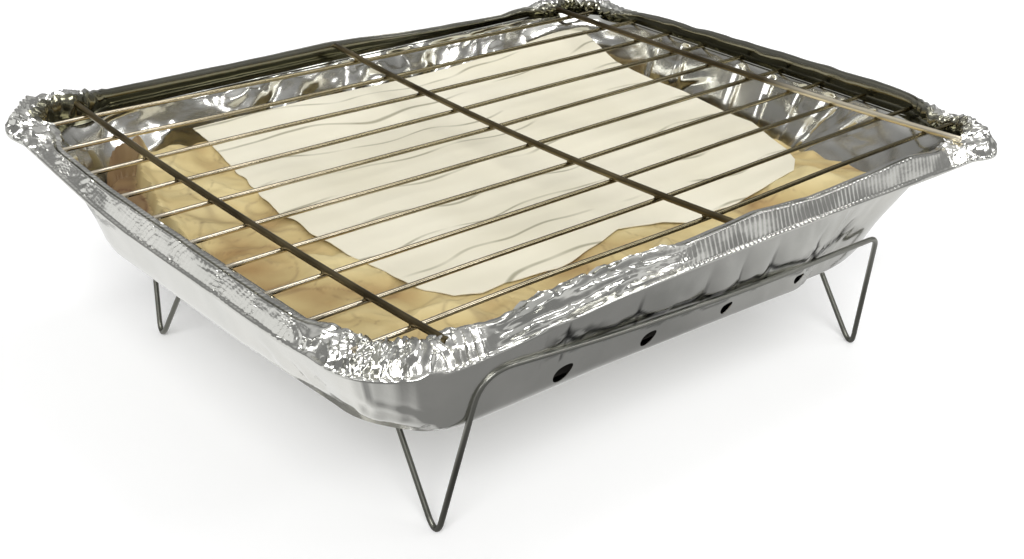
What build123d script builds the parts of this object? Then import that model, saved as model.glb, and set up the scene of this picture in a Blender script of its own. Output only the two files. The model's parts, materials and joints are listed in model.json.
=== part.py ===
from build123d import *
import os
from math import atan2, cos, degrees, radians, sin, tan

os.makedirs("parts", exist_ok=True)

# Disposable charcoal grill: a deep foil tray with a charcoal pack in it, a welded wire grid that
# rests on the tray's ledge, and a bent-wire stand that cradles the tray.
# Lengths are in millimetres and angles in degrees. The ground is z = 0, the long side runs along X
# and the front, the long wall that faces the viewer, is towards -Y.

# Foil tray
rim_length = 310.0
rim_width = 250.0
rim_corner_radius = 29.0
rolled_edge_height = 2.4
rolled_edge_width = 2.0
rolled_edge_rounding = 0.7
lip_height = 7.7
lip_lean = 3.5
hem_height = 1.4
hem_width = 1.0
hem_rounding = 0.3
ledge_width = 8.5
tray_depth = 41.0
wall_draft = 17.0
wall_corner_radius = 42.0
floor_edge_radius = 6.0
foil_thickness = 0.4
panel_margin = 14.0
panel_raise = 1.2
panel_corner_radius = 22.0

# Vent holes, punched through both long walls
vent_count = 4
vent_pitch = 39.7
vent_shift = -8.5
vent_height = 8.5
vent_radius = 3.0
vent_tip_radius = 0.7
vent_tip_reach = 5.0

# Wire stand
stand_wire_diameter = 2.1
stand_top = 46.0
bar_height = 63.0
bar_corner_inset = 51.0
crossing_inset = 49.0
foot_inset = 47.0
outer_arm_lean = 16.5
inner_arm_lean = 36.5
foot_bend_radius = 5.0
crossing_bend_radius = 6.0
tight_bend_radius = 5.0
wide_bend_radius = 13.0

# Cooking grid
rod_diameter = 1.8
crossbar_diameter = 2.5
rod_count = 10
crossbar_names = ["left", "middle", "right"]
rod_end_gap = 2.6
crossbar_end_gap = 2.6
rod_overhang = 22.5
crossbar_overhang = 16.1
weld_sink = 0.2

# Charcoal pack
bag_paper = 0.8
bag_wall_gap = 5.0
bag_front_height = 15.0
bag_rear_height = 22.0
bag_corner_radius = 30.0
bag_edge_bevel = 4.0

# Lumps of charcoal in the pack
lump_columns = 8
lump_rows = 6
lump_gap = 3.0
lump_edge_margin = 8.0
lump_headroom = 3.0
lump_floor_gap = 0.1
lump_least_share = 0.85
lump_corner_share = 1.15
lump_turn = 6.0
lump_slant = 0.12

# Ignition sheet on the pack
sheet_thickness = 0.4
sheet_left_inset = 46.0
sheet_front_inset = 23.0
sheet_right_inset = 10.0
sheet_right_slant = 12.0
sheet_rear_inset = 8.0

# Clearance between pieces that lift apart, and between pieces that rest in the tray
lift_gap = 0.3
seat_gap = 0.2

# Levels
tray_underside = stand_top + lift_gap
ledge_top = tray_underside + tray_depth
ledge_underside = ledge_top - foil_thickness
lip_top = ledge_top + lip_height
panel_top = tray_underside + panel_raise + foil_thickness
rod_level = ledge_top + lift_gap + rod_diameter / 2
crossbar_level = rod_level + (rod_diameter + crossbar_diameter) / 2 - weld_sink
crossing_level = stand_top - stand_wire_diameter / 2
bag_bottom = panel_top + seat_gap

# Half lengths and half widths of the tray's outlines
rim_half = (rim_length / 2, rim_width / 2)
wall_top_half = (rim_half[0] - ledge_width, rim_half[1] - ledge_width)
hem_inset = lip_lean * (1 - hem_height / lip_height)
grid_bay_half = (rim_half[0] - hem_inset - hem_width, rim_half[1] - hem_inset - hem_width)


def outline(half_length, half_width, corner, level):
    """A rounded rectangle centred on the tray, lying at the given level."""
    return Pos(0, 0, level) * RectangleRounded(2 * half_length, 2 * half_width, corner)


def rim_outline(inset, level):
    """The rim's outline, or the same outline further in."""
    return outline(rim_half[0] - inset, rim_half[1] - inset, rim_corner_radius - inset, level)


def wall_run(level):
    """How far the drafted wall's outer face lies inside its top at a level."""
    return (ledge_top - level) * tan(radians(wall_draft))


def wall_half(level, inset=0.0):
    """Half length and half width of the wall's outer face at a level, or of a face further in."""
    run = wall_run(level) + inset
    return (wall_top_half[0] - run, wall_top_half[1] - run)


def wall_prism(low, high, inset=0.0):
    """A solid with the wall's draft between two levels. Its corners widen towards the top."""
    half_length, half_width = wall_half(low, inset)
    base = outline(half_length, half_width, wall_corner_radius - wall_run(low) - inset, low)
    return extrude(base, high - low, taper=-wall_draft)


def lowest_edges(solid):
    return solid.edges().group_by(Axis.Z)[0]


def highest_edges(solid):
    return solid.edges().group_by(Axis.Z)[-1]


def pan_solid():
    """The tray below its ledge, filled."""
    solid = wall_prism(tray_underside, ledge_top)
    return fillet(lowest_edges(solid), floor_edge_radius)


def pan_hollow():
    """The space inside the walls, one foil thickness in, open past the ledge."""
    hollow = wall_prism(tray_underside + foil_thickness, ledge_top + foil_thickness, foil_thickness)
    return fillet(lowest_edges(hollow), floor_edge_radius - foil_thickness)


def rim_ring(outer_inset, width, low, height):
    """A flat-sided ring along the rim."""
    inside = rim_outline(outer_inset + width, low)
    return extrude(rim_outline(outer_inset, low), height) - extrude(inside, height)


def rolled_edge():
    """The foil's edge, rolled up under the foot of the lip."""
    low = ledge_underside - rolled_edge_height / 2
    slab = extrude(rim_outline(0, low), rolled_edge_height)
    slab = chamfer(lowest_edges(slab) + highest_edges(slab), rolled_edge_rounding)
    return slab - extrude(rim_outline(rolled_edge_width, low), rolled_edge_height)


def lip_wall():
    """The band of foil that stands on the rolled edge and leans in over the ledge."""
    lean_angle = degrees(atan2(lip_lean, lip_height))
    outside = extrude(rim_outline(0, ledge_underside), lip_height, taper=lean_angle)
    inside = extrude(rim_outline(foil_thickness, ledge_underside), lip_height, taper=lean_angle)
    return outside - inside


def hem():
    """The folded edge along the top of the lip."""
    low = lip_top - hem_height
    ring = rim_ring(hem_inset, hem_width, low, hem_height)
    return chamfer(highest_edges(ring), hem_rounding)


def raised_panel(corner_growth, low, high):
    """The slab of the stiffening panel that is pressed up into the tray's floor."""
    half_length, half_width = wall_half(tray_underside, panel_margin - corner_growth)
    corner = panel_corner_radius + corner_growth
    return extrude(outline(half_length, half_width, corner, low), high - low)


def vent_cutters():
    """Teardrop punches through the front and rear walls, in a row along X."""
    tip = Pos(vent_tip_reach, 0) * Circle(vent_tip_radius)
    drop = make_hull(Circle(vent_radius).edges() + tip.edges())
    punch = extrude(Plane.XZ * drop, rim_width / 2, both=True)
    first = vent_shift - vent_pitch * (vent_count - 1) / 2
    level = tray_underside + vent_height
    return [Pos(first + vent_pitch * index, 0, level) * punch for index in range(vent_count)]


def foil_tray():
    ledge = extrude(rim_outline(rolled_edge_width / 2, ledge_underside), foil_thickness)
    tray = pan_solid() + ledge - pan_hollow() + rolled_edge() + lip_wall() + hem()
    tray += raised_panel(foil_thickness, tray_underside + foil_thickness / 2, panel_top)
    tray -= raised_panel(0, tray_underside, panel_top - foil_thickness)
    for cutter in vent_cutters():
        tray -= cutter
    return tray


def stand_points():
    """Corners of the front half of the stand wire, from the left crossing to the right one."""
    wire_radius = stand_wire_diameter / 2
    bar_offset = (wire_radius + lift_gap) / cos(radians(wall_draft))
    bar_y = -(wall_half(bar_height)[1] + bar_offset)

    # The arms meet below the ground, at an apex that the foot's round bend cuts off
    half_opening = radians(outer_arm_lean + inner_arm_lean) / 2
    tilt = radians(inner_arm_lean - outer_arm_lean) / 2
    apex_level = wire_radius + foot_bend_radius * (1 - cos(tilt) / sin(half_opening))
    foot_y = bar_y + (bar_height - apex_level) * tan(radians(outer_arm_lean))
    crossing_y = foot_y + (crossing_level - apex_level) * tan(radians(inner_arm_lean))

    bar_x = rim_length / 2 - bar_corner_inset
    foot_x = rim_length / 2 - foot_inset
    crossing_x = rim_length / 2 - crossing_inset
    left = [
        (-crossing_x, 0, crossing_level),
        (-crossing_x, crossing_y, crossing_level),
        (-foot_x, foot_y, apex_level),
        (-bar_x, bar_y, bar_height),
    ]
    right = [(-x, y, z) for x, y, z in reversed(left)]
    return left + right


def wire_span(span):
    """The wire along one straight or round stretch of its centre line."""
    section = Plane(origin=span @ 0, z_dir=span % 0) * Circle(stand_wire_diameter / 2)
    if span.geom_type == GeomType.LINE:
        return extrude(section, span.length, dir=span % 0)
    bend_axis = Axis(span.arc_center, (span % 0).cross(span % 1))
    return revolve(section, bend_axis, degrees(span.length / span.radius))


def wire_stand():
    """One wire bent into a closed loop: two long bars, four V-shaped legs and two crossings."""
    points = stand_points()
    bends = [
        crossing_bend_radius,
        foot_bend_radius,
        wide_bend_radius,
        tight_bend_radius,
        foot_bend_radius,
        crossing_bend_radius,
    ]
    path = FilletPolyline(*points, radius=bends)
    front = Part() + [wire_span(span) for span in path.edges()]
    loop = front + mirror(front, about=Plane.XZ)
    return Pos(0, 0, -loop.bounding_box().min.Z) * loop


def round_wire(diameter, length, along, y=0.0, x=0.0, level=0.0):
    """A straight cut length of wire with its centre at the given point."""
    turn = Rot(0, 90, 0) if along == Axis.X else Rot(90, 0, 0)
    return Pos(x, y, level) * turn * Cylinder(diameter / 2, length)


def grid_rods():
    """The cooking rods, along X, with their ends on the tray's short ledges."""
    length = 2 * (grid_bay_half[0] - rod_end_gap)
    span = 2 * (grid_bay_half[1] - crossbar_end_gap - crossbar_overhang)
    pitch = span / (rod_count - 1)
    rods = {}
    for index in range(rod_count):
        name = f"grid_rod_{index + 1:02d}"
        rods[name] = round_wire(rod_diameter, length, Axis.X, y=pitch * index - span / 2, level=rod_level)
    return rods


def grid_crossbars():
    """The thicker bars that are welded across the top of the rods."""
    length = 2 * (grid_bay_half[1] - crossbar_end_gap)
    reach = grid_bay_half[0] - rod_end_gap - rod_overhang
    bars = {}
    for side, name in zip((-1, 0, 1), crossbar_names):
        place = side * reach
        bar = round_wire(crossbar_diameter, length, Axis.Y, x=place, level=crossbar_level)
        bars[f"grid_crossbar_{name}"] = bar
    return bars


def bag_half(level, inset):
    half_length, half_width = wall_half(level, foil_thickness + bag_wall_gap + inset)
    return half_length, half_width


def bag_slope():
    """Rise of the pack's top for each millimetre towards the rear."""
    return (bag_rear_height - bag_front_height) / (2 * bag_half(bag_bottom, 0)[1])


def bag_top_level(y, lift=0.0):
    return bag_bottom + (bag_front_height + bag_rear_height) / 2 + bag_slope() * y + lift


def bag_top_plane(lift=0.0):
    """The pack's sloping top, lower at the front, raised by the lift."""
    return Plane(origin=(0, 0, bag_top_level(0, lift)), x_dir=(1, 0, 0), z_dir=(0, -bag_slope(), 1))


def bag_solid(inset):
    """The pack's outer shape, or the same shape one inset further in."""
    low = bag_bottom + inset
    half_length, half_width = bag_half(low, inset)
    base = outline(half_length, half_width, bag_corner_radius - inset, low)
    block = extrude(base, 2 * bag_rear_height, taper=-wall_draft)
    block = split(block, bisect_by=bag_top_plane(-inset), keep=Keep.BOTTOM)
    return chamfer(lowest_edges(block), bag_edge_bevel)


def kraft_paper_bag():
    """The sealed paper bag round the charcoal, hollow inside."""
    return bag_solid(0) - bag_solid(bag_paper)


def charcoal_lump(size, index):
    """One broken lump on a flat base, its corners cut off and its top slanted."""
    width = size * (lump_least_share + (1 - lump_least_share) * abs(sin(index)))
    depth = size * (lump_least_share + (1 - lump_least_share) * abs(cos(2 * index)))
    on_floor = (Align.CENTER, Align.CENTER, Align.MIN)
    block = Box(width, depth, bag_rear_height, align=on_floor)
    block &= Rot(0, 0, 45) * Box(size * lump_corner_share, size * lump_corner_share, 2 * bag_rear_height)
    return Rot(0, 0, lump_turn * sin(3 * index)) * block


def charcoal_lumps():
    """The charcoal, one lump deep, filling the pack from wall to wall."""
    half_length, half_width = bag_half(bag_bottom, bag_paper + lump_edge_margin)
    cell_length = 2 * half_length / lump_columns
    cell_width = 2 * half_width / lump_rows
    size = min(cell_length, cell_width) - lump_gap
    floor = bag_bottom + bag_paper + lump_floor_gap
    lumps = []
    for index in range(lump_columns * lump_rows):
        x = cell_length * (index % lump_columns + 0.5) - half_length
        y = cell_width * (index // lump_columns + 0.5) - half_width
        shoulder = Vector(x, y, bag_top_level(y, -bag_paper - lump_headroom))
        slant = Vector(lump_slant * sin(2 * index), lump_slant * cos(3 * index) - bag_slope(), 1)
        lump = Pos(x, y, floor) * charcoal_lump(size, index)
        lumps.append(split(lump, bisect_by=Plane(origin=shoulder, z_dir=slant), keep=Keep.BOTTOM))
    return Compound(children=lumps)


def ignition_sheet():
    """The thin waxed sheet on the pack, narrower at the front than at the rear."""
    half_length, half_width = bag_half(bag_bottom, 0)
    left = -half_length + sheet_left_inset
    right = half_length - sheet_right_inset
    front = -half_width + sheet_front_inset
    rear = half_width - sheet_rear_inset
    corners = [(left, front), (right - sheet_right_slant, front), (right, rear), (left, rear)]
    face = bag_top_plane(seat_gap) * make_face(Polyline(*corners, close=True))
    return extrude(face, sheet_thickness)


pieces = {"wire_stand": wire_stand(), "foil_tray": foil_tray()}
pieces |= grid_rods()
pieces |= grid_crossbars()
pieces["kraft_paper_bag"] = kraft_paper_bag()
pieces["charcoal_lumps"] = charcoal_lumps()
pieces["ignition_sheet"] = ignition_sheet()

for name, piece in pieces.items():
    piece.label = name
    export_step(piece, f"parts/{name}.step")
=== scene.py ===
import json
import math

import bpy
import numpy as np
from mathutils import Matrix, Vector

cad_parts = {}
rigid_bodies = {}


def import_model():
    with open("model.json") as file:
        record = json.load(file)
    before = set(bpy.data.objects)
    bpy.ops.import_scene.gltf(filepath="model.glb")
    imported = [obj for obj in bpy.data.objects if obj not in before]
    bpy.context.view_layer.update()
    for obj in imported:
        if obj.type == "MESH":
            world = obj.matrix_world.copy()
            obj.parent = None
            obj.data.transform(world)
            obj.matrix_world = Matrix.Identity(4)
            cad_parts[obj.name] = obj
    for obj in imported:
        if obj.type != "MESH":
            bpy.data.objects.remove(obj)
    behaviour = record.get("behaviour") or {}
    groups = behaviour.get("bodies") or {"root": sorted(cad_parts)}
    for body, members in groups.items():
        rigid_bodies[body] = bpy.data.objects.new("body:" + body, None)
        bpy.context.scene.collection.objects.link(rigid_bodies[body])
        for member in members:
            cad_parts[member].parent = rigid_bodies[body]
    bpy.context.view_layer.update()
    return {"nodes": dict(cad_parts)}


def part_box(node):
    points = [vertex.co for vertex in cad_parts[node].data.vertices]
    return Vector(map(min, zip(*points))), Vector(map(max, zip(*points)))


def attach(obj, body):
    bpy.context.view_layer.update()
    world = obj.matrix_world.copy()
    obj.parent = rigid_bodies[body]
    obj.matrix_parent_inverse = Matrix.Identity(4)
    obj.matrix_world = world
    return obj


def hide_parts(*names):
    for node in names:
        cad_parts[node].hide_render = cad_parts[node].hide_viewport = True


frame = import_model()

# A disposable charcoal grill: a crumpled foil tray on a bent-wire stand, with a kraft paper pack of
# charcoal, a waxed ignition sheet and a welded wire grid in it.
# Sizes and places are in millimetres unless a name says otherwise, and become metres in each mesh.
MM = 0.001


def node_box(name):
    """Lowest and highest corner of a node of the frame, in millimetres."""
    low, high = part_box(name)
    return Vector(low) / MM, Vector(high) / MM


tray_low, tray_high = node_box("foil_tray")
first_rod_low, first_rod_high = node_box("grid_rod_01")
last_rod_low, last_rod_high = node_box("grid_rod_10")
left_bar_low, left_bar_high = node_box("grid_crossbar_left")
right_bar_low, right_bar_high = node_box("grid_crossbar_right")
pack_low, pack_high = node_box("kraft_paper_bag")

# Foil tray: outline of the rim, and the folds inside it
rim_half_length = tray_high.x
rim_half_width = tray_high.y
rim_corner = 29.0
tray_floor = tray_low.z
ledge_level = 87.3
foil_gauge = 0.3
wall_foot_inset = 21.0
wall_top_corner = 42.0
wall_foot_corner = 32.0
crushed_corner_growth = 30.0
panel_raise = 1.2

# Vent holes: a row of teardrops in both long walls, each with its X, its height and its radius
vents = ((-68.3, 54.0, 3.5), (-28.6, 53.4, 2.9), (9.3, 53.6, 2.1), (47.3, 54.3, 1.8))
vent_tip = 1.5
vent_tip_right, vent_tip_up = 0.85, 0.5
vent_wall_inset = 16
vent_cutter_depth = 30

# Cooking grid
rod_count = 10
rod_radius = (first_rod_high.z - first_rod_low.z) / 2
bar_radius = (left_bar_high.z - left_bar_low.z) / 2
rod_level = (first_rod_low.z + first_rod_high.z) / 2
bar_level = (left_bar_low.z + left_bar_high.z) / 2
rod_half_length = first_rod_high.x
bar_half_length = left_bar_high.y
bar_reach = (right_bar_low.x + right_bar_high.x) / 2
rod_reach = (last_rod_low.y + last_rod_high.y) / 2

# The grid is a little twisted and bowed. At each crossbar from left to right: rise of its middle,
# half the rise from its front end to its rear end, and rise of its ends over its middle.
bar_places = (-bar_reach, 0, bar_reach)
grid_middles = (0.1, -1.0, 0.0)
grid_leans = (2.1, 0.4, -1.65)
grid_bows = (2.4, 2.9, 1.35)


# Patterns that the crumpled pieces share. The last value that a random one gets is its seed.

def lattice(i, j, seed):
    """A fixed random number from -1 to 1 for each lattice point."""
    mixed = np.sin(i * 127.1 + j * 311.7 + seed * 74.7) * 43758.5453
    return 2 * (mixed - np.floor(mixed)) - 1


def facets(x, y, seed):
    """Flat tilted facets that meet in sharp creases, about one unit across."""
    i, j = np.floor(x), np.floor(y)
    s, t = x - i, y - j
    low, high = lattice(i, j, seed), lattice(i + 1, j + 1, seed)
    right, left = lattice(i + 1, j, seed), lattice(i, j + 1, seed)
    near = low + s * (right - low) + t * (left - low)
    far = high + (1 - s) * (left - high) + (1 - t) * (right - high)
    return np.where(s + t < 1, near, far)


def waves(x, y, seed):
    """Smooth hills and hollows, about one unit across."""
    i, j = np.floor(x), np.floor(y)
    s, t = x - i, y - j
    s, t = s * s * (3 - 2 * s), t * t * (3 - 2 * t)
    low = lattice(i, j, seed) * (1 - s) + lattice(i + 1, j, seed) * s
    high = lattice(i, j + 1, seed) * (1 - s) + lattice(i + 1, j + 1, seed) * s
    return low * (1 - t) + high * t


def crumple(x, y, seed):
    """Facets of two sizes along bent lines, as in thin metal that was crushed by hand."""
    bend_x = x + 0.6 * waves(x, y, seed + 1)
    bend_y = y + 0.6 * waves(x, y, seed + 2)
    return facets(bend_x, bend_y, seed) + 0.45 * facets(2.3 * bend_x, 2.3 * bend_y, seed + 3)


def pleat(x):
    """A row of straight-sided folds, one per unit, from -1 to 1."""
    return 4 * np.abs(x - np.floor(x) - 0.5) - 1


def ramp(value, low, high):
    """0 below low, 1 above high, and smooth between them. Low may be above high."""
    share = np.clip((value - low) / (high - low), 0, 1)
    return share * share * (3 - 2 * share)


# Mesh making

def take(piece):
    """Makes the piece the only selected one, and active."""
    bpy.ops.object.select_all(action="DESELECT")
    piece.select_set(True)
    bpy.context.view_layer.objects.active = piece


def name_piece(name):
    piece = bpy.context.active_object
    piece.name = name
    piece.data.name = name
    return piece


def points_of(piece):
    flat = np.zeros(len(piece.data.vertices) * 3)
    piece.data.vertices.foreach_get("co", flat)
    return flat.reshape(-1, 3)


def move_points(piece, points):
    piece.data.vertices.foreach_set("co", points.ravel())
    piece.data.update()


def add_values(piece, values):
    """Stores named numbers on the mesh's points, for its material to read."""
    for name, numbers in values.items():
        layer = piece.data.attributes.new(name, "FLOAT", "POINT")
        layer.data.foreach_set("value", numbers.astype(np.float32))


def open_mesh(piece):
    """Starts editing the piece, with all of its mesh selected."""
    take(piece)
    bpy.ops.object.mode_set(mode="EDIT")
    bpy.ops.mesh.select_all(action="SELECT")


def close_mesh():
    """Turns every face outward and ends the editing."""
    bpy.ops.mesh.select_all(action="SELECT")
    bpy.ops.mesh.normals_make_consistent(inside=False)
    bpy.ops.object.mode_set(mode="OBJECT")


def merge_points(piece, gap):
    open_mesh(piece)
    bpy.ops.mesh.remove_doubles(threshold=gap * MM)
    close_mesh()


def join_pieces(prefix, name):
    """Makes one piece of all those whose names begin with the prefix."""
    pieces = [piece for piece in bpy.data.objects if piece.name.startswith(prefix)]
    take(pieces[0])
    for piece in pieces:
        piece.select_set(True)
    bpy.ops.object.join()
    bpy.ops.object.transform_apply(location=True, rotation=True, scale=True)
    return name_piece(name)


def apply_modifier(piece, kind, **settings):
    take(piece)
    modifier = piece.modifiers.new(kind.title(), kind)
    for key, value in settings.items():
        setattr(modifier, key, value)
    bpy.ops.object.modifier_apply(modifier=modifier.name)


def smooth(piece, angle=40):
    take(piece)
    bpy.ops.object.shade_smooth_by_angle(angle=math.radians(angle))


def lay_grid(name, columns, rows, place):
    """A flat grid whose points are carried to place(u, v), with u and v from 0 to 1."""
    bpy.ops.mesh.primitive_grid_add(x_subdivisions=columns, y_subdivisions=rows, size=1)
    piece = name_piece(name)
    flat = points_of(piece)
    move_points(piece, MM * np.stack(place(flat[:, 0] + 0.5, flat[:, 1] + 0.5), axis=1))
    return piece


# Round the tray: every column of the foil's mesh has a place on the rim
corner_arc = rim_corner * math.pi / 2
core_half_length = rim_half_length - rim_corner
core_half_width = rim_half_width - rim_corner
rim_run = 4 * (core_half_length + core_half_width + corner_arc)
seam_width = 3


class Rim:
    """Places along the rim, counted from the middle of the rear side by way of the left side."""

    def __init__(self, share):
        self.run = share * rim_run
        self.along_x = np.zeros_like(self.run)
        self.along_y = np.zeros_like(self.run)
        self.turn = np.zeros_like(self.run)
        self.corner_distance = np.full_like(self.run, rim_run)
        slack = 1e-6
        at = 0.0
        for length, start, end, heading in self.stretches():
            inside = (self.run >= at - slack) & (self.run <= at + length + slack)
            part = np.clip((self.run - at) / length, 0, 1)
            self.along_x = np.where(inside, start[0] + (end[0] - start[0]) * part, self.along_x)
            self.along_y = np.where(inside, start[1] + (end[1] - start[1]) * part, self.along_y)
            angle = heading[0] + (heading[1] - heading[0]) * part
            self.turn = np.where(inside, np.radians(angle), self.turn)
            if heading[0] != heading[1]:
                gap = np.maximum(at - self.run, self.run - at - length)
                self.corner_distance = np.minimum(self.corner_distance, np.maximum(gap, 0))
            at += length
        self.out_x = np.cos(self.turn)
        self.out_y = np.sin(self.turn)
        self.x, self.y = self.point(0, rim_corner)
        self.left, self.right = self.on_side(-1, 0), self.on_side(1, 0)
        self.front, self.rear = self.on_side(0, -1), self.on_side(0, 1)

    @staticmethod
    def stretches():
        """Length, first and last share of the core, and first and last heading of each stretch."""
        side_x, side_y = 2 * core_half_length, 2 * core_half_width
        return [
            (side_x / 2, (0, 1), (-1, 1), (90, 90)),
            (corner_arc, (-1, 1), (-1, 1), (90, 180)),
            (side_y, (-1, 1), (-1, -1), (180, 180)),
            (corner_arc, (-1, -1), (-1, -1), (180, 270)),
            (side_x, (-1, -1), (1, -1), (270, 270)),
            (corner_arc, (1, -1), (1, -1), (270, 360)),
            (side_y, (1, -1), (1, 1), (0, 0)),
            (corner_arc, (1, 1), (1, 1), (0, 90)),
            (side_x / 2, (1, 1), (0, 1), (90, 90)),
        ]

    def point(self, inset, corner):
        """X and Y at an inset from the rim, where the outline has this corner radius."""
        x = self.along_x * (rim_half_length - inset - corner) + self.out_x * corner
        y = self.along_y * (rim_half_width - inset - corner) + self.out_y * corner
        return x, y

    def near_corner(self, reach):
        """1 on the corners, falling to 0 this far along the sides."""
        return ramp(self.corner_distance, reach, 0)

    def closing(self):
        """1, but 0 at the seam where the mesh's first and last column meet."""
        return ramp(np.minimum(self.run, rim_run - self.run), 0, seam_width)

    def on_side(self, heading_x, heading_y):
        """How far the rim faces this way: 1 on that side, 0 on the others."""
        return ramp(self.out_x * heading_x + self.out_y * heading_y, 0.4, 0.9)

    def on_corner(self, side_x, side_y):
        """1 at the middle of this corner, 0 on the straight sides."""
        facing = (self.out_x * side_x + self.out_y * side_y) / math.sqrt(2)
        return ramp(facing, 0.72, 0.98)

    def toward_corner(self, side_x, side_y):
        """1 round this corner, falling to 0 half way along the two sides that meet there."""
        return ramp(self.x * side_x, 0, core_half_length) * ramp(self.y * side_y, 0, core_half_width)


def denser_in_front(u):
    """Shares of the way round, with more of them on the front side than elsewhere."""
    return np.interp(u, (0, 0.28, 0.72, 1), (0, 0.34, 0.66, 1))


def rim_table(rim, left, front, right, rear):
    """A height round the rim from (place, height) pairs on each side, along Y or X."""
    total = np.zeros_like(rim.x)
    weight = np.zeros_like(rim.x)
    facings = (-rim.out_x, -rim.out_y, rim.out_x, rim.out_y)
    sides = zip(facings, (rim.y, rim.x, rim.y, rim.x), (left, front, right, rear))
    for facing, place, pairs in sides:
        places, heights = zip(*pairs)
        share = np.clip(facing, 0, 1) ** 2
        total += share * np.interp(place, places, heights)
        weight += share
    return total / weight


def lip_top_level(rim):
    """The lip's top edge was bent up and down by hand."""
    left = ((-90, 90), (-60, 89), (-30, 89.5), (40, 90.5), (80, 93.5), (110, 98))
    front = (
        (-118, 92), (-90, 96), (-55, 97.5), (-30, 95.5), (5, 97.5), (35, 94.5), (90, 96.5), (118, 93)
    )
    right = ((-108, 94), (-54, 96), (0, 95), (60, 93), (92, 92))
    rear = ((-124, 99), (-108, 95.5), (-50, 95), (0, 95), (50, 91.5), (98, 90), (124, 93))
    return rim_table(rim, left, front, right, rear)


def lip_curl_level(rim):
    """The rolled edge at the foot of the lip droops on the left side."""
    left = ((-90, 83), (-75, 81.5), (20, 82), (44, 83.5), (68, 86.5), (92, 89.5), (115, 92))
    front = ((-118, 84.5), (-90, 86), (-60, 87.5), (15, 88), (60, 87.5), (102, 87))
    right = ((-120, 85), (-90, 86), (90, 87))
    rear = ((-130, 92), (-100, 88.5), (118, 86.5))
    return rim_table(rim, left, front, right, rear)


def corner_spread(rim):
    """How far out the crushed corners were pulled past the round outline."""
    rear_left = 4.5 * rim.on_corner(-1, 1)
    front_right = 5.0 * rim.on_corner(1, -1)
    rear_right = 3.0 * rim.on_corner(1, 1)
    return rear_left + front_right + rear_right


# Foil rim: ledge, rolled edge, lip and folded hem, one closed band of folded foil.
# Each row of the profile: place along it, inset on a side and on a corner, share of the way from the
# ledge to the rolled edge, share of the way to the lip's top on a side and on a corner, and extra rise.
rim_profile = (
    (0.00, 9.3, 14.0, 0.0, 0.00, 0.00, -0.4),
    (0.08, 3.0, 5.0, 0.5, 0.00, 0.00, -0.2),
    (0.14, 1.2, 1.6, 1.0, 0.00, 0.00, -0.9),
    (0.19, 0.1, 0.2, 1.0, 0.00, 0.00, -0.4),
    (0.23, 0.0, 0.1, 1.0, 0.00, 0.00, 0.2),
    (0.27, 0.4, 0.5, 1.0, 0.00, 0.00, 0.9),
    (0.30, 0.9, 1.1, 1.0, 0.00, 0.00, 1.1),
    (0.45, 2.2, 4.0, 0.4, 0.50, 0.75, 0.6),
    (0.60, 3.3, 8.0, 0.0, 0.96, 1.00, 0.0),
    (0.64, 3.8, 9.2, 0.0, 1.00, 1.02, 0.0),
    (0.68, 4.3, 10.2, 0.0, 0.78, 0.85, 0.0),
    (0.72, 4.8, 11.0, 0.0, 0.97, 0.98, 0.0),
    (0.78, 6.6, 13.0, 0.0, 0.94, 0.90, 0.0),
    (0.82, 6.9, 13.6, 0.0, 0.70, 0.60, 0.0),
    (0.92, 4.6, 11.5, 0.0, 0.15, 0.15, 0.2),
    (1.00, 9.3, 14.0, 0.0, 0.00, 0.00, 0.0),
)
rim_band_width = 40
rim_corner_reach = 20
band_out, band_up = 0.8, 0.6


def rim_form(rim, v):
    """Inset and height of the band without its small folds."""
    stations, *columns = zip(*rim_profile)
    rows = (np.interp(v, stations, column) for column in columns)
    side_inset, corner_inset, curl_share, side_top, corner_top, rise = rows
    corner = rim.near_corner(rim_corner_reach)
    inset = side_inset + (corner_inset - side_inset) * corner
    top_share = side_top + (corner_top - side_top) * corner
    curl = curl_share * (lip_curl_level(rim) - ledge_level)
    top = top_share * (lip_top_level(rim) - ledge_level)
    return inset, ledge_level + curl + top + rise


def crushed_front(rim):
    """1 where the front lip was crushed by hand, left of its middle."""
    return rim.front * ramp(rim.x, -114, -102) * ramp(rim.x, -22, -44)


def dented(rim):
    """How dented each side is: the rear least, and the front and right side most."""
    return 1 - 0.4 * rim.left - 0.75 * rim.rear


def rim_push(rim, v):
    """How far each fold stands out, between the rolled edge and the hem."""
    run, across = rim.run, v * rim_band_width
    corner = rim.near_corner(rim_corner_reach)
    dents = dented(rim) * (0.6 * waves(run / 17, across / 18, 1) + 0.25 * waves(run / 6, across / 11, 2))
    ribbed = rim.front * ramp(rim.x, -45, -25) * (0.2 * ramp(rim.x, 125, 90) + 0.8 * ramp(rim.x, 75, 30))
    ribs = 0.24 * ribbed * pleat(run / 2.2 + 0.12 * waves(run / 7, across / 12, 5))
    patch = 0.4 + 0.6 * ramp(waves(run / 9, 0 * run, 4), -0.3, 0.3)
    crimp_bend = 0.4 * waves(run / 4, across / 9, 13)
    crimps = 0.42 * rim.left * patch * pleat((run - 0.35 * across) / 2.4 + crimp_bend)
    corner_folds = (
        0.9 * pleat(run / 4.3 + 1.1 * waves(run / 7, across / 14, 6))
        + 0.8 * crumple(run / 4.6, across / 11.0, 7)
    )
    long_streaks = facets((run + 0.5 * across) / 15, (across - 0.12 * run) / 2.4, 8)
    streaks = 1.1 * long_streaks + 0.3 * crumple(run / 7, across / 3, 9)
    band = ramp(v, 0.23, 0.30) * ramp(v, 0.98, 0.84)
    return band * rim.closing() * (
        (1 - corner) * dents + ribs + crimps + corner * corner_folds + crushed_front(rim) * streaks
    )


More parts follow.
